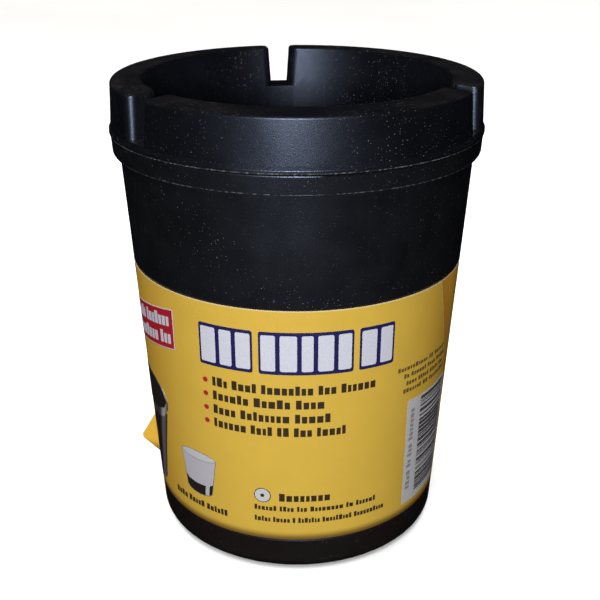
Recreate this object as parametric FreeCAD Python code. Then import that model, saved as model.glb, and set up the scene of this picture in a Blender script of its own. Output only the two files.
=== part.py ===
"""Bucket ashtray: a tapered bucket with a lift-off notched top, a metal insert and two wrap labels.

Row frame: origin at the middle of the base, on the surface it stands on. +Z is the bucket's axis, up.
One cigarette notch of the top points along +Y. Sizes are in millimetres.
Every wall of revolution is a closed outline of (radius, height, corner rounding) turned about +Z.
"""

import FreeCAD, Part
import math
import os

# Driving dimensions

TOTAL_HEIGHT = 125.0

# Bucket
BASE_RADIUS = 39.55  # where the tapered wall would meet the floor
TAPER = 0.0602  # radius gained per millimetre of height
WALL = 2.0
BASE_EDGE_ROUNDING = 3.0
FOOT_RECESS_DEPTH = 1.2
FOOT_RING_WIDTH = 3.2
RIM_BOTTOM = 106.8  # underside of the rim band
RIM_TOP = 111.55  # the rim's end, which the top stands on
RIM_RADIUS = 48.0
RIM_LEAN = 0.3  # how much smaller the band is at its underside

# Top
SEAT_GAP = 0.15  # the fine dark line between the top and the rim band
TOP_RADIUS = 47.3
SKIRT_RADIUS = 47.8
BULGE_RADIUS = 48.3
BULGE_HEIGHT = 0.9
LAND_FALL = 0.6  # how much lower the land is at its outer edge than at the bowl
BOWL_RADIUS = 39.4
BOWL_DRAFT = 0.6
TOP_WALL = 1.8
BOWL_CORNER_HEIGHT = 100.5
THROAT_RADIUS = 12.5
THROAT_TOP = 91.5
THROAT_BOTTOM = 79.5
LAND_EDGE_ROUNDING = 0.8
NOTCH_COUNT = 3
NOTCH_FLOOR_HEIGHT = 113.8
NOTCH_FLOOR_WIDTH = 5.0
NOTCH_DRAFT_DEG = 3.8
NOTCH_FLARE = 2.2  # rounding of the upright edges between a notch and the ring's two faces
FIRST_NOTCH_DEG = 90.0
RELIEF_DEPTH = 0.3  # shallow flat below each notch, inside the bowl
RELIEF_WIDTH = 7.4
RELIEF_BELOW_NOTCH = 0.6
RIB_COUNT = 12
RIB_THICKNESS = 1.4
RIB_BOTTOM = 101.0
RIB_CLEARANCE = 0.18

# Metal insert
INSERT_HEIGHT = 31.0
INSERT_SHEET = 0.5
INSERT_BEAD_RADIUS = 0.9
INSERT_CLEARANCE = 0.3
INSERT_CORNER_ROUNDING = 4.0
INSERT_PANEL_RADIUS = 29.0
INSERT_PANEL_RISE = 0.8
INSERT_FLOOR_GAP = 0.1

# Labels, angles counted from +X towards +Y
LABEL_BOTTOM = 10.0
LABEL_TOP = 77.7
LABEL_RECESS = 0.15  # depth of the shallow panel that the labels lie in
LABEL_THICKNESS = 0.15
LABEL_GAP = 0.03
FRONT_LABEL_FROM_DEG = -200.0
FRONT_LABEL_TO_DEG = -25.0
LABEL_END_GAP_DEG = 0.3
REAR_LABEL_FROM_DEG = FRONT_LABEL_TO_DEG + LABEL_END_GAP_DEG
REAR_LABEL_TO_DEG = FRONT_LABEL_FROM_DEG + 360.0 - LABEL_END_GAP_DEG

BUCKET_FLOOR = FOOT_RECESS_DEPTH + WALL
AXIS = FreeCAD.Vector(0, 0, 1)
ORIGIN = FreeCAD.Vector(0, 0, 0)


# Helpers


def outer_radius(height):
    """Radius of the bucket's tapered outer wall."""
    return BASE_RADIUS + TAPER * height


def inner_radius(height):
    """Radius of the bucket's tapered inner wall."""
    return outer_radius(height) - WALL


def rounded_outline(corners, place):
    """Closed wire through corners (a, b, rounding). place(a, b) gives the point in space."""
    edges = []
    starts = []
    ends = []
    count = len(corners)
    for index, (a, b, rounding) in enumerate(corners):
        corner = FreeCAD.Vector(a, b, 0)
        before = FreeCAD.Vector(*corners[index - 1][:2], 0) - corner
        after = FreeCAD.Vector(*corners[(index + 1) % count][:2], 0) - corner
        before.normalize()
        after.normalize()
        if rounding == 0:
            starts.append(corner)
            ends.append(corner)
            continue
        half = before.getAngle(after) / 2
        reach = rounding / math.tan(half)
        middle = before + after
        middle.normalize()
        centre = corner + middle * (rounding / math.sin(half))
        start = corner + before * reach
        end = corner + after * reach
        top = centre - middle * rounding
        starts.append(start)
        ends.append(end)
        edges.append(Part.Arc(place(start.x, start.y), place(top.x, top.y), place(end.x, end.y)).toShape())
    for index in range(count):
        start = ends[index]
        end = starts[(index + 1) % count]
        if start.distanceToPoint(end) > 1e-6:
            edges.append(Part.LineSegment(place(start.x, start.y), place(end.x, end.y)).toShape())
    return Part.Wire(Part.__sortEdges__(edges))


def turned(corners, degrees=360.0):
    """Solid of revolution about +Z from an outline of (radius, height, rounding)."""
    wire = rounded_outline(corners, lambda r, z: FreeCAD.Vector(r, 0, z))
    return Part.Face(wire).revolve(ORIGIN, AXIS, degrees)


def turned_about_axis(shape, degrees):
    """Copy of shape turned about +Z."""
    copy = shape.copy()
    copy.rotate(ORIGIN, AXIS, degrees)
    return copy


def notch_angles():
    """Directions of the notches, counted from +X."""
    return [FIRST_NOTCH_DEG + index * 360.0 / NOTCH_COUNT for index in range(NOTCH_COUNT)]


def save(shape, node):
    """Writes one node's STEP file and prints what it holds."""
    if not shape.isValid():
        raise RuntimeError(node + " is not a valid shape")
    shape.exportStep("parts/" + node + ".step")
    print(node, "solids", len(shape.Solids), "volume", round(shape.Volume, 1))


# Bucket


def make_bucket():
    """One moulding: tapered wall with a shallow label panel, recessed foot and the rim band under the top."""
    foot_inner = BASE_RADIUS - BASE_EDGE_ROUNDING - FOOT_RING_WIDTH
    shell = turned(
        [
            (0, FOOT_RECESS_DEPTH, 0),
            (foot_inner, FOOT_RECESS_DEPTH, 0.6),
            (foot_inner + 0.3, 0, 0.4),
            (BASE_RADIUS, 0, BASE_EDGE_ROUNDING),
            (outer_radius(LABEL_BOTTOM - 0.6), LABEL_BOTTOM - 0.6, 0),
            (outer_radius(LABEL_BOTTOM - 0.2) - LABEL_RECESS, LABEL_BOTTOM - 0.2, 0),
            (outer_radius(LABEL_TOP + 0.2) - LABEL_RECESS, LABEL_TOP + 0.2, 0),
            (outer_radius(LABEL_TOP + 0.6), LABEL_TOP + 0.6, 0),
            (outer_radius(RIM_BOTTOM), RIM_BOTTOM, 0.3),
            (RIM_RADIUS - RIM_LEAN, RIM_BOTTOM, 0.5),
            (RIM_RADIUS, RIM_TOP, 0.4),
            (inner_radius(RIM_TOP), RIM_TOP, 0.5),
            (inner_radius(BUCKET_FLOOR), BUCKET_FLOOR, 2.5),
            (0, BUCKET_FLOOR, 0),
        ]
    )
    gate_mark = turned(
        [
            (0, FOOT_RECESS_DEPTH - 0.5, 0),
            (1.5, FOOT_RECESS_DEPTH - 0.5, 0.2),
            (1.6, FOOT_RECESS_DEPTH + 0.2, 0),
            (0, FOOT_RECESS_DEPTH + 0.2, 0),
        ]
    )
    return shell.fuse(gate_mark).removeSplitter()


# Top


def notch_cutter(spread):
    """Prism along +X with the notch's section, grown by spread all round."""
    floor = NOTCH_FLOOR_HEIGHT - spread
    high = TOTAL_HEIGHT + 3.0
    half_floor = NOTCH_FLOOR_WIDTH / 2 + spread
    half_high = half_floor + (high - floor) * math.tan(math.radians(NOTCH_DRAFT_DEG))
    start = BOWL_RADIUS - 6.0
    wire = rounded_outline(
        [
            (-half_floor, floor, spread),
            (half_floor, floor, spread),
            (half_high, high, 0),
            (-half_high, high, 0),
        ],
        lambda y, z: FreeCAD.Vector(start, y, z),
    )
    return Part.Face(wire).extrude(FreeCAD.Vector(BULGE_RADIUS + 6.0 - start, 0, 0))


def round_ring_edges(solid):
    """Rounds the upright edges of the notches, and then the edges around each land."""
    outer_edge = TOTAL_HEIGHT - LAND_FALL
    upright = []
    for edge in solid.Edges:
        box = edge.BoundBox
        if abs(box.ZMin - NOTCH_FLOOR_HEIGHT) < 0.01 and box.ZMax > outer_edge - 0.01:
            upright.append(edge)
    rounded = solid.makeFillet(NOTCH_FLARE, upright)
    land_edges = [edge for edge in rounded.Edges if edge.BoundBox.ZMin > outer_edge - 0.01]
    return rounded.makeFillet(LAND_EDGE_ROUNDING, land_edges)


def make_ring_and_bowl():
    """Outer form of the top with the ring still full, and the bowl, funnel and throat inside it."""
    skirt_bottom = RIM_TOP + SEAT_GAP
    wall_outer = BOWL_RADIUS - BOWL_DRAFT + TOP_WALL
    full = turned(
        [
            (TOP_RADIUS, TOTAL_HEIGHT - LAND_FALL, 0),
            (BOWL_RADIUS, TOTAL_HEIGHT, 0),
            (BOWL_RADIUS - BOWL_DRAFT, BOWL_CORNER_HEIGHT, 5.0),
            (THROAT_RADIUS, THROAT_TOP, 2.5),
            (THROAT_RADIUS - 0.3, THROAT_BOTTOM, 0.5),
            (THROAT_RADIUS + TOP_WALL - 0.4, THROAT_BOTTOM, 0.5),
            (THROAT_RADIUS + TOP_WALL, THROAT_TOP - 1.4, 1.0),
            (wall_outer, BOWL_CORNER_HEIGHT - 1.2, 6.0),
            (wall_outer + 0.1, skirt_bottom, 0),
            (BULGE_RADIUS, skirt_bottom, 0.3),
            (BULGE_RADIUS, skirt_bottom + BULGE_HEIGHT, 0.4),
            (SKIRT_RADIUS, NOTCH_FLOOR_HEIGHT - 0.2, 0),
        ]
    )
    full = turned_about_axis(full, FIRST_NOTCH_DEG)  # its seam falls into a notch
    for angle in notch_angles():
        full = full.cut(turned_about_axis(notch_cutter(0), angle))
    return round_ring_edges(full)


def make_underside_pocket():
    """Hollow of the ring, open below, less the channel walls that carry the notches."""
    skirt_bottom = RIM_TOP + SEAT_GAP
    inner = BOWL_RADIUS + TOP_WALL
    outer = TOP_RADIUS - TOP_WALL
    ceiling = TOTAL_HEIGHT - LAND_FALL - TOP_WALL
    pocket = turned(
        [
            (inner, skirt_bottom - 1.0, 0),
            (outer, skirt_bottom - 1.0, 0),
            (outer, ceiling, 1.0),
            (inner, ceiling, 1.0),
        ]
    )
    for angle in notch_angles():
        pocket = pocket.cut(turned_about_axis(notch_cutter(TOP_WALL), angle))
    return pocket


def make_rib():
    """One upright rib on the bowl's outside, along +X. Below the skirt it guides the bowl in the mouth."""
    inner = BOWL_RADIUS - BOWL_DRAFT + TOP_WALL - 0.6
    guide_low = inner_radius(RIB_BOTTOM) - RIB_CLEARANCE
    guide_high = inner_radius(RIM_TOP) - RIB_CLEARANCE
    above_rim = RIM_TOP + 0.6
    high = TOTAL_HEIGHT - LAND_FALL - TOP_WALL + 0.4
    wire = rounded_outline(
        [
            (inner, RIB_BOTTOM, 0),
            (guide_low - 1.5, RIB_BOTTOM, 0),
            (guide_low + TAPER * 2.5, RIB_BOTTOM + 2.5, 0),
            (guide_high, above_rim, 0),
            (guide_high, high, 0),
            (inner, high, 0),
        ],
        lambda x, z: FreeCAD.Vector(x, -RIB_THICKNESS / 2, z),
    )
    return Part.Face(wire).extrude(FreeCAD.Vector(0, RIB_THICKNESS, 0))


def make_relief():
    """Shallow flat below a notch on the bowl's inside, along +X."""
    outer = turned(
        [
            (BOWL_RADIUS - 3.0, BOWL_CORNER_HEIGHT + 2.0, 0),
            (BOWL_RADIUS - BOWL_DRAFT / 2 + RELIEF_DEPTH, BOWL_CORNER_HEIGHT + 2.0, 0),
            (BOWL_RADIUS - BOWL_DRAFT / 2 + RELIEF_DEPTH, NOTCH_FLOOR_HEIGHT - RELIEF_BELOW_NOTCH, 0),
            (BOWL_RADIUS - 3.0, NOTCH_FLOOR_HEIGHT - RELIEF_BELOW_NOTCH, 0),
        ]
    )
    low = FreeCAD.Vector(BOWL_RADIUS - 6.0, -RELIEF_WIDTH / 2, BOWL_CORNER_HEIGHT)
    window = Part.makeBox(12.0, RELIEF_WIDTH, 20.0, low)
    return outer.common(window)


def make_top():
    """One moulding: hollow ring with three notches, bowl, funnel and throat, and ribs under the ring."""
    top = make_ring_and_bowl()
    top = top.cut(make_underside_pocket())
    for index in range(RIB_COUNT):
        angle = FIRST_NOTCH_DEG + (index + 0.5) * 360.0 / RIB_COUNT
        top = top.fuse(turned_about_axis(make_rib(), angle))
    for angle in notch_angles():
        top = top.cut(turned_about_axis(make_relief(), angle))
    return top.removeSplitter()


# Metal insert


def make_metal_insert():
    """Drawn cup that lies on the bucket's floor, with a raised panel and a rolled bead at its rim."""
    low = BUCKET_FLOOR + INSERT_FLOOR_GAP
    high = low + INSERT_HEIGHT
    bead_centre = inner_radius(high) - INSERT_CLEARANCE - INSERT_BEAD_RADIUS
    wall_high = bead_centre - INSERT_BEAD_RADIUS + 2 * INSERT_SHEET
    wall_low = wall_high - TAPER * INSERT_HEIGHT
    sheet = INSERT_SHEET
    cup = turned(
        [
            (0, low + INSERT_PANEL_RISE, 0),
            (INSERT_PANEL_RADIUS, low + INSERT_PANEL_RISE, 0.8),
            (INSERT_PANEL_RADIUS + 1.0, low, 0.8),
            (wall_low, low, INSERT_CORNER_ROUNDING),
            (wall_high, high, 0),
            (wall_high - sheet, high, 0),
            (wall_low - sheet, low + sheet, INSERT_CORNER_ROUNDING - sheet),
            (INSERT_PANEL_RADIUS + 1.0 - sheet / 2, low + sheet, 0.4),
            (INSERT_PANEL_RADIUS - sheet / 2, low + INSERT_PANEL_RISE + sheet, 0.4),
            (0, low + INSERT_PANEL_RISE + sheet, 0),
        ]
    )
    bead = Part.makeTorus(bead_centre, INSERT_BEAD_RADIUS, FreeCAD.Vector(0, 0, high), AXIS)
    return cup.fuse(bead).removeSplitter()


# Labels


def make_label(from_degrees, to_degrees):
    """Thin printed label on the tapered wall, from one angle to another."""
    low = outer_radius(LABEL_BOTTOM) - LABEL_RECESS + LABEL_GAP
    high = outer_radius(LABEL_TOP) - LABEL_RECESS + LABEL_GAP
    sheet = turned(
        [
            (low, LABEL_BOTTOM, 0),
            (low + LABEL_THICKNESS, LABEL_BOTTOM, 0),
            (high + LABEL_THICKNESS, LABEL_TOP, 0),
            (high, LABEL_TOP, 0),
        ],
        to_degrees - from_degrees,
    )
    return turned_about_axis(sheet, from_degrees)


os.makedirs("parts", exist_ok=True)
save(make_bucket(), "bucket")
save(make_top(), "top")
save(make_metal_insert(), "metal_insert")
save(make_label(FRONT_LABEL_FROM_DEG, FRONT_LABEL_TO_DEG), "front_label")
save(make_label(REAR_LABEL_FROM_DEG, REAR_LABEL_TO_DEG), "rear_label")
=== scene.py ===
"""Looks of the bucket ashtray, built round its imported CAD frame.

Units are metres in the frame's axes: +Z up, the base on z = 0, and the printed panel facing about -Y.
The plastic and metal parts are the CAD nodes with materials of their own. The two labels are rebuilt
as thin sheets, with every ink of the print as a thin solid on top of them.
A place on the label is (along, height): millimetres to the right of the print's middle, measured
along the wall, and millimetres above the floor.
"""

import math
import random

import bmesh
import bpy
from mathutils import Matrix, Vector


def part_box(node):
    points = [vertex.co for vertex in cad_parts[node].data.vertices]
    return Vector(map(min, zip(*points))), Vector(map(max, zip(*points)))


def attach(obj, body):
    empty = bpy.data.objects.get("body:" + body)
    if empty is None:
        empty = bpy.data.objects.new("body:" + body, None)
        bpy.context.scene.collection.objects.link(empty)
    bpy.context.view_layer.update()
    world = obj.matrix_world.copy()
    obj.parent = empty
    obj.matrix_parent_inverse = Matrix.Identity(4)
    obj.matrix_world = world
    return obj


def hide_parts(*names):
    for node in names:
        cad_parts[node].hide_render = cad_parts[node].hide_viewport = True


MM = 0.001
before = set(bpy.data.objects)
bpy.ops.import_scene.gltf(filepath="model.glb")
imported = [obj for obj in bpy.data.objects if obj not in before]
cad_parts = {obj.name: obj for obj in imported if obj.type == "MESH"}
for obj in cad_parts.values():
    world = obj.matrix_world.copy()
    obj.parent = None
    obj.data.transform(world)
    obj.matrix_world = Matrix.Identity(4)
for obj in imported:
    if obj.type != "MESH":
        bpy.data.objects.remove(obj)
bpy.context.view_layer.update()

# Places, in mm. The labels' are read from the frame.

LABEL_LOW, LABEL_HIGH = (corner.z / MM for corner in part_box("front_label"))
SHEET_THICKNESS = 0.15
SEAM_HEIGHT = 111.7  # about the lower edge of the top, where a line of dust and painted highlight lies
RIM_BAND_FOOT = 106.9  # about the lower edge of the bucket's rim band, where a line of dust and painted highlight lies too


def end_radius(node, height):
    """Largest radius, in mm, of a CAD node's vertices at a height."""
    near = [v.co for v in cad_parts[node].data.vertices if abs(v.co.z / MM - height) < 0.01]
    return max(math.hypot(co.x, co.y) for co in near) / MM


LOW_RADIUS = end_radius("front_label", LABEL_LOW)
HIGH_RADIUS = end_radius("front_label", LABEL_HIGH)


def label_radius(height):
    """Radius of the label's printed face, in mm."""
    share = (height - LABEL_LOW) / (LABEL_HIGH - LABEL_LOW)
    return LOW_RADIUS + (HIGH_RADIUS - LOW_RADIUS) * share


# Label layout, in mm unless it says otherwise

PRINT_MIDDLE = math.radians(-97.35)  # angle of the print's middle, counted from +X
FRONT_END_HIGH = 42.7  # the front label's right end, at its top edge
FRONT_END_SLANT = 0.29  # how far that end moves right for each mm down
FRONT_START_HIGH = -74.5  # its left end, at the top edge
FRONT_START_LOW = -75.7  # and at the bottom edge
REAR_GAP = 0.25  # between the two labels at each seam
CORNER_ROUNDING = 1.2
FLAP_WIDTH = 12.6  # the loose corner's fold runs from here on the bottom edge
FLAP_HEIGHT = 20.4  # to here on the left end
FLAP_ANGLE = math.radians(66.0)
FLAP_BEND_RADIUS = 4.0


def front_end(height):
    """Where the front label's right end is at a height."""
    return FRONT_END_HIGH + FRONT_END_SLANT * (LABEL_HIGH - height)


def wall_point(along, height, lift):
    """Point on the label's printed face, lift mm out from it."""
    radius = label_radius(height)
    angle = PRINT_MIDDLE + along / radius
    out = radius + lift
    return Vector((out * math.cos(angle), out * math.sin(angle), height)) * MM


def front_sheet_point(along, height, lift):
    """As wall_point, with the front label's lower left corner bent away from the wall."""
    fold_start = Vector((FRONT_START_LOW + FLAP_WIDTH, LABEL_LOW))
    fold_end = Vector((FRONT_START_LOW, LABEL_LOW + FLAP_HEIGHT))
    fold = (fold_end - fold_start).normalized()
    across = Vector((-fold.y, fold.x))
    if across.x > 0:
        across = -across
    place = Vector((along, height))
    beyond = (place - fold_start).dot(across)
    if beyond <= 0:
        return wall_point(along, height, lift)
    foot = place - across * beyond
    bent = min(beyond / FLAP_BEND_RADIUS, FLAP_ANGLE)
    straight = max(beyond - FLAP_BEND_RADIUS * FLAP_ANGLE, 0.0)
    forward = FLAP_BEND_RADIUS * math.sin(bent) + straight * math.cos(bent)
    outward = FLAP_BEND_RADIUS * (1 - math.cos(bent)) + straight * math.sin(bent)
    forward -= lift * math.sin(bent)
    outward += lift * math.cos(bent)
    angle = PRINT_MIDDLE + foot.x / label_radius(foot.y)
    normal = Vector((math.cos(angle), math.sin(angle), 0))
    tangent = Vector((-math.sin(angle), math.cos(angle), 0))
    radius = label_radius(foot.y)
    base = normal * radius + Vector((0, 0, foot.y))
    ahead = tangent * across.x + Vector((0, 0, across.y))
    return (base + ahead * forward + normal * outward) * MM


# Flat outlines, in label millimetres


def arc(centre, radius, start_deg, end_deg, steps=6, squash=1.0):
    """Points on an arc, flattened upright by squash."""
    points = []
    for step in range(steps + 1):
        angle = math.radians(start_deg + (end_deg - start_deg) * step / steps)
        points.append((centre[0] + radius * math.cos(angle), centre[1] + radius * squash * math.sin(angle)))
    return points


def disc(centre, radius, squash=1.0):
    """Round or oval outline."""
    return arc(centre, radius, 0, 330, 11, squash)


def block(left, low, right, high, rounding=0.0):
    """Upright rectangle with rounded corners."""
    if rounding == 0:
        return [(left, low), (right, low), (right, high), (left, high)]
    inner_left, inner_right = left + rounding, right - rounding
    inner_low, inner_high = low + rounding, high - rounding
    return (
        arc((inner_right, inner_low), rounding, -90, 0, 3)
        + arc((inner_right, inner_high), rounding, 0, 90, 3)
        + arc((inner_left, inner_high), rounding, 90, 180, 3)
        + arc((inner_left, inner_low), rounding, 180, 270, 3)
    )


def placeholder_line(left, right, low, tall, words, seed):
    """A line of plain blocks that stands for print. words are the numbers of blocks in each word."""
    chance = random.Random(seed)
    widths = [[chance.uniform(0.7, 1.25) for _ in range(count)] for count in words]
    word_space = 1.1
    block_space = 0.34
    natural = sum(sum(w) + block_space * (len(w) - 1) for w in widths) + word_space * (len(words) - 1)
    scale = (right - left) / natural
    blocks = []
    at = left
    for word in widths:
        for place, width in enumerate(word):
            end = at + width * scale
            high = low + tall * (1.32 if place == 0 or chance.random() < 0.2 else 1.0)
            blocks.append(block(at, low, end, high))
            at = end + block_space * scale
        at += (word_space - block_space) * scale
    return blocks


def sheared(outline, about, rise):
    """Outline whose level lines climb to the right by rise, and whose upright lines stay upright."""
    return [(along, height + (along - about) * rise) for along, height in outline]


# Thin solids on the wall


def cutting_planes(mesh, axis, spacing):
    """Points and normals of planes that cut flat outlines across one axis, spacing mm apart."""
    places = [v.co[axis] for v in mesh.verts]
    low, high = min(places), max(places)
    normal = Vector((0, 0, 0))
    normal[axis] = 1
    planes = []
    for count in range(1, math.ceil((high - low) / spacing)):
        point = Vector((0, 0, 0))
        point[axis] = low + spacing * count
        planes.append((point, normal))
    return planes


def wrapped(name, outlines, under, over, materials, place=wall_point, step=1.2, rows=None):
    """Closed thin solid over flat outlines, bent round the wall, from under to over mm off its face.

    step and rows are the widths, in mm, of the strips it is cut into so that it can bend. materials[0] is
    the printed face. A second material, if given, is for the cut edges and the back.
    """
    mesh = bmesh.new()
    for outline in outlines:
        mesh.faces.new([mesh.verts.new((along, height, 0)) for along, height in outline])
    cuts = cutting_planes(mesh, 0, step)
    if rows:
        cuts += cutting_planes(mesh, 1, rows)
    for point, direction in cuts:
        geometry = mesh.verts[:] + mesh.edges[:] + mesh.faces[:]
        bmesh.ops.bisect_plane(mesh, geom=geometry, plane_co=point, plane_no=direction, dist=1e-5)
    extruded = bmesh.ops.extrude_face_region(mesh, geom=mesh.faces[:])
    for item in extruded["geom"]:
        if isinstance(item, bmesh.types.BMVert):
            item.co.z = 1.0
    bmesh.ops.recalc_face_normals(mesh, faces=mesh.faces[:])
    for face in mesh.faces:
        face.smooth = True
        printed = all(v.co.z > 0.5 for v in face.verts)
        face.material_index = 0 if printed or len(materials) == 1 else 1
    for edge in mesh.edges:
        edge.smooth = edge.calc_face_angle(0) < 1.0
    for vertex in mesh.verts:
        vertex.co = place(vertex.co.x, vertex.co.y, over if vertex.co.z > 0.5 else under)
    data = bpy.data.meshes.new(name)
    bmesh.ops.recalc_face_normals(mesh, faces=mesh.faces[:])
    mesh.to_mesh(data)
    mesh.free()
    for material in materials:
        data.materials.append(material)
    piece = bpy.data.objects.new(name, data)
    bpy.context.scene.collection.objects.link(piece)
    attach(piece, "bucket")
    return piece


# Materials


class Material:
    """A node material with a principled shader, and short calls for the nodes that feed it."""

    def __init__(self, name, **values):
        self.material = bpy.data.materials.new(name)
        self.material.use_nodes = True
        self.tree = self.material.node_tree
        self.shader = self.tree.nodes["Principled BSDF"]
        for socket, value in values.items():
            self.shader.inputs[socket.replace("_", " ")].default_value = value
        self.place = self.node("ShaderNodeTexCoord").outputs["Object"]

    def node(self, kind, settings=(), **inputs):
        """Adds a node. Inputs are values or other nodes' outputs."""
        node = self.tree.nodes.new(kind)
        for key, value in dict(settings).items():
            setattr(node, key, value)
        for key, value in inputs.items():
            socket = node.inputs[int(key[1:])] if key[0] == "i" and key[1:].isdigit() else node.inputs[key]
            self.feed(socket, value)
        return node

    def feed(self, socket, value):
        """Links an output to a socket, or sets its value."""
        if isinstance(value, bpy.types.NodeSocket):
            self.tree.links.new(value, socket)
        else:
            socket.default_value = value

    def set(self, name, value):
        """Feeds one of the shader's sockets."""
        self.feed(self.shader.inputs[name], value)

    def math(self, operation, first, second=0.0, clamp=False):
        """One arithmetic step."""
        settings = {"operation": operation, "use_clamp": clamp}
        return self.node("ShaderNodeMath", settings, i0=first, i1=second).outputs[0]

    def radius_squared(self, parts):
        """Square of the distance from the object's axis, from a place's parts."""
        across = self.math("MULTIPLY", parts.outputs["X"], parts.outputs["X"])
        along = self.math("MULTIPLY", parts.outputs["Y"], parts.outputs["Y"])
        return self.math("ADD", across, along)

    def noise(self, scale, detail=3.0, place=None):
        """Soft noise from 0 to 1. Scale is in features per metre."""
        place = place or self.place
        return self.node("ShaderNodeTexNoise", Vector=place, Scale=scale, Detail=detail).outputs["Fac"]

    def map_range(self, value, low, high, to_low, to_high, **settings):
        """Maps low..high to to_low..to_high."""
        node = self.node("ShaderNodeMapRange", settings, Value=value)
        for key, number in (("From Min", low), ("From Max", high), ("To Min", to_low), ("To Max", to_high)):
            node.inputs[key].default_value = number
        return node.outputs["Result"]

    def ramp(self, value, low, high, to_low=0.0, to_high=1.0):
        """Maps low..high to to_low..to_high, smoothly and clamped."""
        return self.map_range(value, low, high, to_low, to_high, interpolation_type="SMOOTHSTEP")

    def ramp_straight(self, value, low, high, to_low, to_high):
        """Maps low..high to to_low..to_high in a straight line, on past both ends."""
        return self.map_range(value, low, high, to_low, to_high, clamp=False)

    def mix(self, share, first, second):
        """Blend of two colours."""
        node = self.node("ShaderNodeMix", {"data_type": "RGBA"})
        self.feed(node.inputs["Factor"], share)
        self.feed(node.inputs[6], first)
        self.feed(node.inputs[7], second)
        return node.outputs[2]

    def specks(self, scale, size, share):
        """Scattered dots: share of the cells hold one, of up to size cells across."""
        cells = self.node("ShaderNodeTexVoronoi", Vector=self.place, Scale=scale)
        chance = self.node("ShaderNodeSeparateColor", Color=cells.outputs["Color"])
        chosen = self.math("GREATER_THAN", chance.outputs[0], 1.0 - share)
        radius = self.math("MULTIPLY", chance.outputs[1], size)
        inside = self.math("LESS_THAN", cells.outputs["Distance"], radius)
        return self.math("MULTIPLY", chosen, inside)

    def bump(self, height, strength, distance):
        """Feeds the shader's normal, on top of any bump already there."""
        node = self.node("ShaderNodeBump", Height=height, Strength=strength, Distance=distance)
        before = self.shader.inputs["Normal"]
        if before.is_linked:
            self.tree.links.new(before.links[0].from_socket, node.inputs["Normal"])
        self.tree.links.new(node.outputs["Normal"], before)


def rgba(red, green, blue):
    """Opaque colour."""
    return (red, green, blue, 1.0)


def shade(colour, factor):
    """Opaque colour, made lighter or darker by a factor."""
    return rgba(*[part * factor for part in colour])


SATIN_TINT = rgba(0.6, 0.71, 1.0)  # the plastic's highlights are bluish
# Colour of the dust specks, and of the lines of dust and painted highlight under the rims
DUST_AND_HIGHLIGHT_TONE = rgba(0.34, 0.34, 0.35)
# Warm tint of the dust film on upward faces, partly a painted reflection
FILM_AND_REFLECTION_TONE = rgba(0.44, 0.31, 0.25)
DUST_AND_HIGHLIGHT_LINE_RADIUS = 46.6  # mm; the lines of dust and painted highlight lie only outside it, on the outer wall
HANDLED_RADIUS = 38.0  # mm; inside it there is less dust


def moulded_plastic(name, colour, dust, dust_and_highlight_lines=(), foot_reflection_colour=None):
    """Satin black moulding with fine grain, scattered dust, and lines of dust and painted highlight at given
    heights in mm.

    The last argument, if given, is the colour of a warm painted reflection on the plastic below the labels.
    """
    make = Material(name, Roughness=0.4, Specular_IOR_Level=0.62, Specular_Tint=SATIN_TINT)
    parts = make.node("ShaderNodeSeparateXYZ", Vector=make.place)
    facing = make.node("ShaderNodeSeparateXYZ", Vector=make.node("ShaderNodeTexCoord").outputs["Normal"])
    cloud = make.noise(160.0, 4.0)
    # Fine and coarse dust, thicker in patches
    patches = make.ramp(make.noise(55.0, 4.0), 0.42, 0.66, 0.2, 1.0)
    fine = make.math("MULTIPLY", make.specks(1700.0, 0.24, 0.6 * dust), 0.28)
    coarse = make.math("MULTIPLY", make.specks(600.0, 0.1, 0.12 * dust), 0.75)
    dots = make.math("MULTIPLY", make.math("MAXIMUM", fine, coarse), patches)
    # A thin film of dust on faces that look up, mostly at the sides; its warm brown tint is a painted
    # reflection
    upward = make.ramp(facing.outputs["Z"], 0.3, 1.0)
    film_and_reflection = make.math("MULTIPLY", upward, make.ramp(cloud, 0.35, 0.75, 0.003, 0.014))
    sideways = make.ramp(make.math("ABSOLUTE", parts.outputs["X"]), 0.012, 0.034, 0.15, 1.0)
    film_and_reflection = make.math("MULTIPLY", film_and_reflection, sideways)
    squared = make.radius_squared(parts)
    outside = make.math("GREATER_THAN", squared, (DUST_AND_HIGHLIGHT_LINE_RADIUS * MM) ** 2)
    handled = make.math("GREATER_THAN", squared, (HANDLED_RADIUS * MM) ** 2)
    dots = make.math("MULTIPLY", dots, make.ramp(handled, 0.0, 1.0, 0.25, 1.0))
    # Broken lines of dust and painted highlight under the rims
    broken = make.ramp(make.noise(1100.0, 6.0), 0.42, 0.7, 0.06, 0.62)
    lines = 0.0
    for height, width in dust_and_highlight_lines:
        away = make.math("ABSOLUTE", make.math("SUBTRACT", parts.outputs["Z"], height * MM))
        line = make.math("MULTIPLY", make.ramp(away, 0.0, width * MM, 1.0, 0.0), broken)
        lines = make.math("MAXIMUM", make.math("MULTIPLY", line, outside), lines)
    dust_and_highlight = make.math("MAXIMUM", dots, lines, clamp=True)
    tone = make.mix(make.ramp(cloud, 0.3, 0.7), shade(colour, 0.85), shade(colour, 1.2))
    # Painted warm reflection on the plastic below the labels
    if foot_reflection_colour:
        foot = make.ramp(parts.outputs["Z"], (LABEL_LOW - 1.0) * MM, (LABEL_LOW + 2.0) * MM, 1.0, 0.0)
        tone = make.mix(foot, tone, rgba(*foot_reflection_colour))
    tone = make.mix(film_and_reflection, tone, FILM_AND_REFLECTION_TONE)
    make.set("Base Color", make.mix(dust_and_highlight, tone, DUST_AND_HIGHLIGHT_TONE))
    rough = make.ramp(make.noise(90.0, 5.0), 0.3, 0.7, 0.32, 0.38)
    make.set("Roughness", make.math("ADD", rough, make.math("MULTIPLY", dust_and_highlight, 0.4), clamp=True))
    make.bump(make.noise(5200.0, 1.0), 0.7, 0.00004)
    make.bump(make.noise(60.0, 2.0), 0.12, 0.0003)
    return make.material


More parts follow.
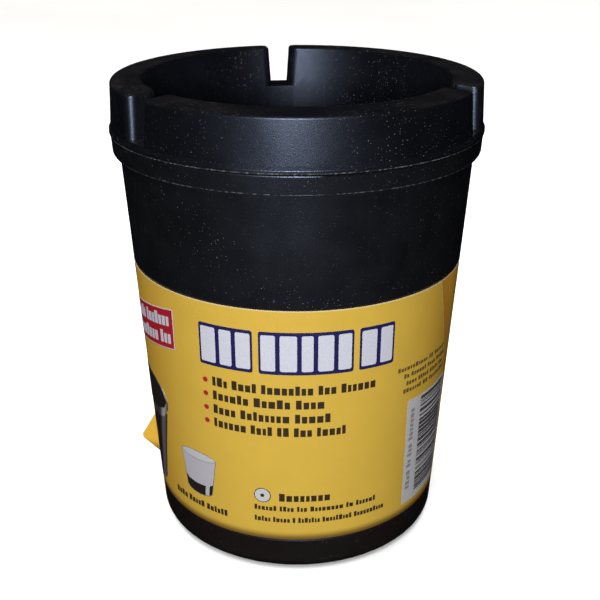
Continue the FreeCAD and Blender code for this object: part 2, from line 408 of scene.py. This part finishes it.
def drawn_steel(name):
    """Drawn sheet steel with fine rings from the press, and faint stains."""
    make = Material(name, Metallic=1.0, Roughness=0.3)
    parts = make.node("ShaderNodeSeparateXYZ", Vector=make.place)
    radius = make.math("SQRT", make.radius_squared(parts))
    ring = make.math("ADD", radius, parts.outputs["Z"])
    line = make.node("ShaderNodeCombineXYZ", X=ring)
    rings = make.noise(3200.0, 4.0, line.outputs[0])
    stain = make.noise(70.0, 5.0)
    stained = make.ramp(stain, 0.35, 0.75)
    make.set("Base Color", make.mix(stained, rgba(0.66, 0.66, 0.65), rgba(0.47, 0.46, 0.44)))
    ring_rough = make.ramp(rings, 0.3, 0.7, 0.2, 0.34)
    stain_rough = make.ramp(stain, 0.4, 0.8, 0.0, 0.14)
    make.set("Roughness", make.math("ADD", ring_rough, stain_rough))
    make.bump(rings, 0.25, 0.00003)
    return make.material


def beside_line(make, low_along, high_along):
    """Distance in mm along the wall from a line that runs from the label's bottom edge to its top edge."""
    parts = make.node("ShaderNodeSeparateXYZ", Vector=make.place)
    turn = make.math("ARCTAN2", parts.outputs["Y"], parts.outputs["X"])
    turn = make.math("SUBTRACT", turn, PRINT_MIDDLE)
    low_turn = low_along / label_radius(LABEL_LOW)
    high_turn = high_along / label_radius(LABEL_HIGH)
    share = make.ramp_straight(parts.outputs["Z"], LABEL_LOW * MM, LABEL_HIGH * MM, low_turn, high_turn)
    middle_radius = label_radius((LABEL_LOW + LABEL_HIGH) / 2)
    return make.math("MULTIPLY", make.math("SUBTRACT", turn, share), middle_radius)


SEAM_SHADE_WIDTH = 7.0  # mm; the strip of painted shade beside the right-hand seam
SIDE_START, SIDE_END = 24.0, 50.0  # mm from the print's middle; where painted shade turns the paper browner
FOOT_SHADE_WIDTH = 2.7  # mm; the dark edge along the label's foot
HEAD_LINE_WIDTH = 0.32  # mm; the pale edge along its head
HEAD_LINE_TONE = rgba(0.68, 0.56, 0.34)
PRESS_BUMP = 0.00002  # height, in metres, of the grain under the print


def coated_paper(name, colour, seam_shade=False):
    """Printed label stock: fine grain, a slight sheen and soft ripples of the adhesive.

    It is browner towards the sides and dark along its foot, both painted shade, and pale along its head.
    The last argument paints shade on the strip beside the right-hand seam.
    """
    make = Material(name, Roughness=0.4, Specular_IOR_Level=0.6)
    parts = make.node("ShaderNodeSeparateXYZ", Vector=make.place)
    mottle = make.ramp(make.noise(140.0, 5.0), 0.3, 0.7, 0.0, 1.0)
    grain = make.ramp(make.noise(3200.0, 2.0), 0.25, 0.75, 0.0, 1.0)
    tone = make.mix(mottle, shade(colour, 0.98), shade(colour, 1.02))
    tone = make.mix(make.math("MULTIPLY", grain, 0.1), tone, shade(colour, 0.75))
    # Painted shade on the strip beside the right-hand seam
    if seam_shade:
        away = beside_line(make, front_end(LABEL_LOW), front_end(LABEL_HIGH))
        seam_shade_share = make.ramp(away, 0.0, SEAM_SHADE_WIDTH, 0.8, 0.0)
        tone = make.mix(seam_shade_share, tone, shade(colour, 0.3))
    # Painted shade: the paper turns browner towards the sides
    from_middle = make.math("ABSOLUTE", beside_line(make, 0.0, 0.0))
    painted_side_shade = make.ramp(from_middle, SIDE_START, SIDE_END, 0.0, 0.7)
    tone = make.mix(painted_side_shade, tone, rgba(colour[0] * 0.98, colour[1] * 0.84, colour[2] * 0.6))
    # Painted shade darkens the paper along its foot
    foot, foot_end = (LABEL_LOW + 0.1) * MM, (LABEL_LOW + FOOT_SHADE_WIDTH) * MM
    low_edge = make.ramp(parts.outputs["Z"], foot, foot_end, 0.93, 0.0)
    tone = make.mix(low_edge, tone, rgba(colour[0] * 0.2, colour[1] * 0.15, colour[2] * 0.2))
    head, head_end = (LABEL_HIGH - HEAD_LINE_WIDTH) * MM, (LABEL_HIGH - 0.1) * MM
    high_edge = make.ramp(parts.outputs["Z"], head, head_end, 0.0, 0.85)
    tone = make.mix(high_edge, tone, HEAD_LINE_TONE)
    make.set("Base Color", tone)
    make.set("Roughness", make.ramp(make.noise(260.0, 4.0), 0.3, 0.7, 0.36, 0.43))
    make.bump(make.noise(1500.0, 3.0), 0.1, PRESS_BUMP)
    make.bump(make.noise(60.0, 2.0), 0.15, 0.0003)
    return make.material


def ink_surface(name, roughness):
    """Material with the slightly uneven sheen and grain of printed ink, still without a colour."""
    make = Material(name, Roughness=roughness, Specular_IOR_Level=0.4)
    sheen = make.ramp(make.noise(400.0, 3.0), 0.3, 0.7, roughness - 0.03, roughness + 0.04)
    make.set("Roughness", sheen)
    make.bump(make.noise(1500.0, 3.0), 0.1, PRESS_BUMP)
    return make


def ink(name, colour, roughness=0.4):
    """One printed colour, with a little fine unevenness."""
    make = ink_surface(name, roughness)
    uneven = make.ramp(make.noise(2400.0, 3.0), 0.3, 0.7, 0.0, 1.0)
    make.set("Base Color", make.mix(uneven, shade(colour, 0.95), shade(colour, 1.04)))
    return make.material


def shaded_ink(name, dark, light):
    """Ink of the bucket picture: dark, with a soft slanting gleam near its right side."""
    make = ink_surface(name, 0.4)
    gleam_low, gleam_high = -49.0, -34.1  # where its line meets the label's two edges
    away = make.math("ABSOLUTE", beside_line(make, gleam_low, gleam_high))
    gleam = make.ramp(away, 0.2, 2.6, 1.0, 0.0)
    dots = make.ramp(make.noise(2400.0, 3.0), 0.3, 0.7, 0.85, 1.0)
    make.set("Base Color", make.mix(make.math("MULTIPLY", gleam, dots), rgba(*dark), rgba(*light)))
    return make.material


def dress(node, material):
    """Gives a CAD node its material."""
    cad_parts[node].data.materials.clear()
    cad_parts[node].data.materials.append(material)


BUCKET_LINES = ((RIM_BAND_FOOT + 0.1, 0.24),)  # heights and half widths of the lines of dust and painted highlight, in mm
TOP_LINES = ((SEAM_HEIGHT + 0.16, 0.3),)
BUCKET_TONE = (0.0050, 0.0050, 0.0060)
TOP_TONE = (0.0027, 0.0029, 0.0038)
FOOT_REFLECTION_TONE = (0.0078, 0.0056, 0.0048)  # painted warm reflection on the bucket below its labels
dress("bucket", moulded_plastic("bucket_black", BUCKET_TONE, 0.9, BUCKET_LINES, FOOT_REFLECTION_TONE))
dress("top", moulded_plastic("top_black", TOP_TONE, 1.35, TOP_LINES))
dress("metal_insert", drawn_steel("insert_steel"))

YELLOW = coated_paper("label_yellow", (0.56, 0.36, 0.05))
REAR_YELLOW = coated_paper("rear_label_yellow", (0.6, 0.33, 0.042), seam_shade=True)
PAPER = ink("label_paper_edge", (0.44, 0.35, 0.18), 0.7)
WHITE = ink("ink_white", (0.50, 0.50, 0.56))
PALE = ink("ink_pale", (0.46, 0.45, 0.46))
BLUE = ink("ink_blue", (0.012, 0.01, 0.07))
RED = ink("ink_red", (0.34, 0.012, 0.022))
DARK = ink("ink_dark", (0.03, 0.02, 0.012))
FAINT = ink("ink_faint", (0.115, 0.075, 0.025))
BARS = ink("ink_bars", (0.06, 0.05, 0.055))
BLACK = ink("ink_black", (0.016, 0.012, 0.011))
SILVER = ink("ink_silver", (0.40, 0.385, 0.41))
GREY = ink("ink_grey", (0.14, 0.125, 0.115))
FAINT_GREY = ink("ink_faint_grey", (0.24, 0.225, 0.23))
PICTURE_BLACK = shaded_ink("picture_black", (0.016, 0.011, 0.009), (0.13, 0.11, 0.115))
PICTURE_GREY = shaded_ink("picture_grey", (0.045, 0.036, 0.034), (0.36, 0.34, 0.35))

# Labels

# Faces, in mm out from the front label's printed face
REAR_LIFT = -0.05
UNDER_INK = -0.02
FIRST_INK = 0.035
SECOND_INK = 0.06
THIRD_INK = 0.085
FOURTH_INK = 0.11


def make_labels():
    """The front label with its loose corner, and the rear label whose ends lie beside it."""
    under = -SHEET_THICKNESS
    corner = (FRONT_START_LOW + CORNER_ROUNDING, LABEL_LOW + CORNER_ROUNDING)
    end_low, end_high = front_end(LABEL_LOW), front_end(LABEL_HIGH)
    outline = arc(corner, CORNER_ROUNDING, 180, 270, 4)
    outline += [(end_low, LABEL_LOW), (end_high, LABEL_HIGH), (FRONT_START_HIGH, LABEL_HIGH)]
    materials = [YELLOW, PAPER]
    front = wrapped("front_label_sheet", [outline], under, 0.0, materials, front_sheet_point, 1.0, 1.0)
    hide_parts("front_label")
    turn_low = 2 * math.pi * label_radius(LABEL_LOW)
    turn_high = 2 * math.pi * label_radius(LABEL_HIGH)
    outline = [
        (end_low + REAR_GAP, LABEL_LOW),
        (FRONT_START_LOW + turn_low - REAR_GAP, LABEL_LOW),
        (FRONT_START_HIGH + turn_high - REAR_GAP, LABEL_HIGH),
        (end_high + REAR_GAP, LABEL_HIGH),
    ]
    materials = [REAR_YELLOW, PAPER]
    rear = wrapped("rear_label_sheet", [outline], under, REAR_LIFT, materials, wall_point, 1.0, 8.0)
    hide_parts("rear_label")


# Print on the front label


def put(name, outlines, over, material):
    """One ink of the print, over mm out from the paper."""
    wrapped(name, outlines, UNDER_INK, over, [material])


def print_headline():
    """Plain white blocks in three groups, each with a dark blue border."""
    left, right = -25.3, 25.3
    low, high = 60.4, 72.0
    border = 0.9
    inset = border * 0.62  # blocks that stand side by side share the border between them
    group_space = 1.5
    groups = ((5.2, 4.3, 4.8), (4.6, 5.2, 3.9, 4.9, 4.4), (5.1, 4.5))
    scale = (right - left - group_space * (len(groups) - 1)) / sum(sum(group) for group in groups)
    borders = []
    fills = []
    at = left
    for group in groups:
        group_end = at + sum(group) * scale
        borders.append(block(at, low, group_end, high, 0.6))
        for width in group:
            end = at + width * scale
            fills.append(block(at + inset, low + border, end - inset, high - border, 0.45))
            at = end
        at += group_space
    put("print_headline_border", borders, FIRST_INK, BLUE)
    put("print_headline_fill", fills, SECOND_INK, WHITE)


def print_bullets():
    """Four red dots, each with a line of placeholder blocks.

    A row is the height of its middle, its right end and the blocks in each word.
    """
    rows = (
        (55.8, 20.2, (3, 4, 8, 3, 6)),
        (51.8, 6.8, (6, 5, 4)),
        (47.7, 8.4, (4, 8, 5)),
        (43.7, 12.4, (6, 4, 2, 3, 5)),
    )
    dots = [disc((-24.1, height), 0.75) for height, _, _ in rows]
    put("print_bullet_dots", dots, FIRST_INK, RED)
    lines = []
    for height, right, words in rows:
        lines += placeholder_line(-21.9, right, height - 1.15, 1.95, words, int(height))
    put("print_bullet_lines", lines, FIRST_INK, DARK)


def print_red_box():
    """A red box whose level lines climb to the right, with two placeholder lines in white."""
    right, left = -34.5, -68.0
    rise = 0.2
    low, high = 61.1, 72.1

    def put_climbing(name, outlines, over, material):
        put(name, [sheared(outline, right, rise) for outline in outlines], over, material)

    keyline = block(left - 0.2, low - 0.25, right + 0.25, high + 0.25)
    put_climbing("print_red_keyline", [keyline], FIRST_INK, WHITE)
    put_climbing("print_red_box", [block(left, low, right, high)], SECOND_INK, RED)
    lines = placeholder_line(left + 2.0, right - 1.6, low + 6.3, 2.75, (4, 5, 7), 3)
    lines += placeholder_line(left + 4.0, right - 1.2, low + 1.3, 2.75, (3, 8, 3), 4)
    put_climbing("print_red_box_lines", lines, THIRD_INK, WHITE)


def tapered(middle, low, high, half_low, half_high, sag_low, sag_high):
    """Outline of a round vessel drawn from the side. Its foot and its top bow down by the sags."""
    steps = 9
    points = []
    for step in range(steps + 1):
        share = -1 + 2 * step / steps
        points.append((middle + share * half_low, low - sag_low * math.sqrt(max(0.0, 1 - share * share))))
    for step in range(steps + 1):
        share = 1 - 2 * step / steps
        points.append((middle + share * half_high, high - sag_high * math.sqrt(max(0.0, 1 - share * share))))
    return points


def print_bucket_picture():
    """A plain drawing of a dark open bucket, seen a little from above."""
    middle = -54.3
    mouth = 42.2
    body = tapered(middle, 15.0, mouth - 4.0, 8.4, 13.3, 3.2, 0.0)
    collar = tapered(middle, mouth - 2.2, mouth, 14.0, 14.2, 5.8, 0.0)
    put("print_bucket_body", [body], FIRST_INK, PICTURE_BLACK)
    put("print_bucket_collar", [collar], SECOND_INK, PICTURE_GREY)
    put("print_bucket_rim", [disc((middle, mouth), 14.2, 0.41)], THIRD_INK, PICTURE_GREY)
    put("print_bucket_mouth", [disc((middle - 0.1, mouth), 13.6, 0.39)], FOURTH_INK, BLACK)


def print_cup_picture():
    """A plain drawing of the metal insert, a light cup with a dark bright-striped foot, and its caption."""
    middle = -28.3
    mouth = 31.1
    line = tapered(middle, 19.9, mouth, 4.6, 6.2, 1.5, 0.0)
    side = tapered(middle, 20.0, mouth, 4.42, 6.05, 1.35, 0.0)
    foot = tapered(middle, 20.0, 23.2, 4.42, 4.9, 1.35, 1.4)
    shine = [(middle + 2.2, 18.85), (middle + 3.5, 19.2), (middle + 3.8, 22.35), (middle + 2.4, 21.95)]
    put("print_cup_line", [line], FIRST_INK, GREY)
    put("print_cup_side", [side], SECOND_INK, SILVER)
    put("print_cup_foot", [foot], THIRD_INK, BLACK)
    put("print_cup_shine", [shine], FOURTH_INK, SILVER)
    put("print_cup_mouth_line", [disc((middle, mouth), 6.2, 0.22)], THIRD_INK, GREY)
    put("print_cup_mouth", [disc((middle, mouth), 6.02, 0.2)], FOURTH_INK, PALE)
    caption = placeholder_line(-38.6, -19.2, 14.5, 1.45, (4, 5, 6), 5)
    put("print_cup_caption", caption, FIRST_INK, DARK)


def print_note():
    """A plain round mark, a bold placeholder line and two thin ones."""
    mark = (-9.0, 23.9)
    put("print_mark_ring", [disc(mark, 2.3)], FIRST_INK, DARK)
    put("print_mark_face", [disc(mark, 2.08)], SECOND_INK, PALE)
    put("print_mark_dot", [disc(mark, 0.55)], THIRD_INK, DARK)
    lines = placeholder_line(-4.6, 8.6, 22.4, 1.85, (8,), 6)
    lines += placeholder_line(-11.2, 21.6, 19.2, 1.2, (6, 4, 3, 8, 2, 6), 7)
    lines += placeholder_line(-11.2, 24.5, 15.6, 1.2, (5, 5, 1, 7, 9, 10), 8)
    put("print_note_lines", lines, FIRST_INK, DARK)


def print_small_block():
    """Four short placeholder lines, set in the middle, beside the front label's right end."""
    lines = placeholder_line(27.2, 48.4, 56.4, 0.95, (11, 2, 6), 9)
    lines += placeholder_line(29.4, 49.0, 54.1, 0.95, (2, 6, 4, 5), 10)
    lines += placeholder_line(30.4, 48.6, 51.8, 0.95, (4, 5, 5, 3), 11)
    lines += placeholder_line(29.4, 49.8, 49.6, 0.95, (7, 2, 9), 12)
    put("print_small_lines", lines, FIRST_INK, FAINT)


def print_stripe_patch():
    """A white patch with dark stripes and a column of placeholder blocks up its left side."""
    left, right, low, high = 31.5, 51.8, 12.9, 46.6
    put("print_patch", [block(left, low, right, high, 0.2)], FIRST_INK, PALE)
    chance = random.Random(7)
    stripes = []
    at = low + 2.3
    while at < high - 0.9:
        thick = chance.choice((0.28, 0.28, 0.5, 0.75, 1.0))
        stripes.append(block(left + 5.5, at, right - 1.2, at + thick))
        at += thick + chance.choice((0.32, 0.32, 0.55, 0.8))
    wrapped("print_patch_stripes", stripes, UNDER_INK, SECOND_INK, [BARS], step=2.0)
    column = placeholder_line(low + 4.6, high - 3.0, 0.0, 1.35, (4, 2, 3, 7), 13)
    upright = [[(left + 2.9 - height, along) for along, height in outline] for outline in column]
    put("print_patch_column", upright, SECOND_INK, FAINT_GREY)


make_labels()
print_headline()
print_bullets()
print_red_box()
print_bucket_picture()
print_cup_picture()
print_note()
print_small_block()
print_stripe_patch()

# Stage

CAMERA_TURN = math.radians(-7.35)
CAMERA_AWAY = 257.3 * MM
CAMERA_HEIGHT = 172.5 * MM
CAMERA_SIDE = 0.8 * MM
CAMERA_PITCH = 0.407
CAMERA_LENS = 59.93
FLOOR_HALF = 4.0  # metres
LIGHTS_AIM = Vector((0, 0, 0.07))  # the middle of the object


def make_floor():
    """Plain pale floor with a little unevenness in its colour."""
    make = Material("floor_pale", Roughness=0.7, Specular_IOR_Level=0.2)
    uneven = make.ramp(make.noise(3.0), 0.3, 0.7)
    make.set("Base Color", make.mix(uneven, rgba(0.80, 0.80, 0.79), rgba(0.83, 0.83, 0.82)))
    data = bpy.data.meshes.new("floor")
    corners = [(x * FLOOR_HALF, y * FLOOR_HALF, -0.0002) for x, y in ((-1, -1), (1, -1), (1, 1), (-1, 1))]
    data.from_pydata(corners, [], [(0, 1, 2, 3)])
    data.materials.append(make.material)
    floor = bpy.data.objects.new("floor", data)
    bpy.context.scene.collection.objects.link(floor)
    floor.visible_glossy = False  # the object neither mirrors the floor nor is lit by it
    floor.visible_diffuse = False


def make_backdrop():
    """White dome behind everything, seen directly but giving no light."""
    make = Material("backdrop_white", Emission_Strength=1.0)
    make.set("Base Color", rgba(0.0, 0.0, 0.0))
    make.set("Emission Color", rgba(1.0, 1.0, 1.0))
    mesh = bmesh.new()
    bmesh.ops.create_uvsphere(mesh, u_segments=32, v_segments=16, radius=FLOOR_HALF * 1.5)
    data = bpy.data.meshes.new("backdrop")
    mesh.to_mesh(data)
    mesh.free()
    data.materials.append(make.material)
    backdrop = bpy.data.objects.new("backdrop", data)
    bpy.context.scene.collection.objects.link(backdrop)
    backdrop.visible_diffuse = False
    backdrop.visible_glossy = False
    backdrop.visible_transmission = False
    backdrop.visible_shadow = False


def make_light(name, kind, azimuth, elevation, away, energy, colour):
    """Lamp that looks at the object from a direction, in degrees. Azimuth 0 is in front."""
    turn = math.radians(azimuth)
    rise = math.radians(elevation)
    direction = Vector((math.sin(turn) * math.cos(rise), -math.cos(turn) * math.cos(rise), math.sin(rise)))
    lamp = bpy.data.lights.new(name, kind)
    lamp.energy = energy
    lamp.color = colour
    light = bpy.data.objects.new(name, lamp)
    light.location = LIGHTS_AIM + direction * away
    light.rotation_mode = "QUATERNION"
    light.rotation_quaternion = direction.to_track_quat("Z", "Y")
    bpy.context.scene.collection.objects.link(light)
    return light


def make_lights():
    """A small soft light in front, an even one from above, two soft ones behind, and a dim surround."""
    front = make_light("front_light", "AREA", -10.5, 16.0, 0.5, 2.65, (0.96, 0.98, 1.0))
    front.data.size = 0.07
    above = make_light("overhead_light", "SUN", -30.0, 80.0, 2.0, 4.15, (1.0, 0.99, 0.98))
    above.data.angle = math.radians(60)
    above.visible_glossy = False  # it lights the floor, and the plastic mirrors only the front light
    for side, azimuth in (("left", -140.0), ("right", 140.0)):
        back = make_light("back_light_" + side, "AREA", azimuth, 30.0, 0.6, 1.8, (0.97, 0.98, 1.0))
        back.data.size = 0.2
        back.visible_glossy = False  # the front view's lands must not mirror it
    world = bpy.data.worlds.new("surround")
    world.use_nodes = True
    world.node_tree.nodes["Background"].inputs["Color"].default_value = rgba(0.95, 0.97, 1.0)
    world.node_tree.nodes["Background"].inputs["Strength"].default_value = 0.0015
    bpy.context.scene.world = world


def make_camera():
    """Camera in front of the printed panel, looking a little down."""
    lens = bpy.data.cameras.new("camera")
    lens.lens = CAMERA_LENS
    lens.clip_start = 0.01
    camera = bpy.data.objects.new("camera", lens)
    sine, cosine = math.sin(CAMERA_TURN), math.cos(CAMERA_TURN)
    camera.location = (
        CAMERA_AWAY * sine + CAMERA_SIDE * cosine,
        -CAMERA_AWAY * cosine + CAMERA_SIDE * sine,
        CAMERA_HEIGHT,
    )
    camera.rotation_euler = (math.pi / 2 - CAMERA_PITCH, 0, CAMERA_TURN)
    bpy.context.scene.collection.objects.link(camera)
    bpy.context.scene.camera = camera


make_floor()
make_backdrop()
make_lights()
make_camera()
bpy.context.scene.view_settings.view_transform = "Standard"
